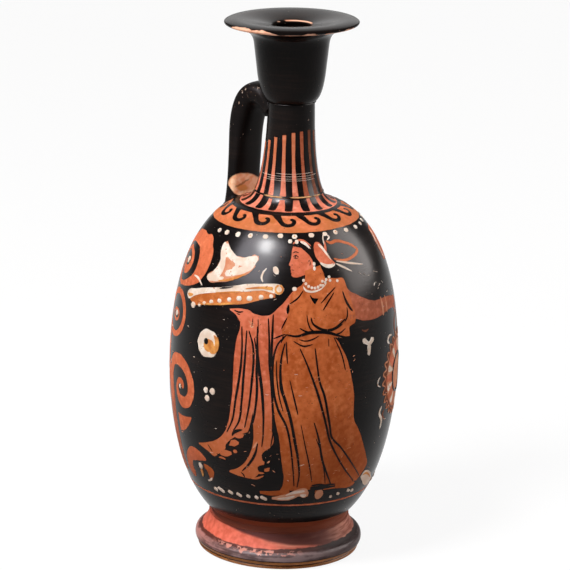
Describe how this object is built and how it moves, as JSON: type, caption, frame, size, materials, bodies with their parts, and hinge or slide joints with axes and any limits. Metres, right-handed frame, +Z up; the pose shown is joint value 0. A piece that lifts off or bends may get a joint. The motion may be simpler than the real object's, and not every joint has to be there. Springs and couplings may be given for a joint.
{
  "type": "lekythos",
  "caption": "Slim egg-bodied oil flask of painted red-figure pottery with a moulded foot, narrow neck, deep cup mouth with a wide flat lip and one strap handle.",
  "frame": {"origin": "middle of the plane that the foot rests on", "axes": "+Z up along the vessel's axis, +Y towards the handle, +X to the right when the handle is at the back"},
  "size_m": [0.1014, 0.1014, 0.24],
  "materials": {
    "black_gloss": "fine black slip, burnished and fired to a soft gloss",
    "red_clay": "bare fired red clay, matt",
    "slip_clay": "thin fired clay slip, matt"
  },
  "bodies": {
    "root": {"foot": "red_clay", "foot_luting": "slip_clay", "body": "black_gloss", "neck_luting": "slip_clay", "neck": "black_gloss", "mouth_luting": "slip_clay", "mouth": "black_gloss", "handle": "black_gloss", "handle_top_luting": "black_gloss", "handle_root_luting": "black_gloss"}
  },
  "joints": []
}
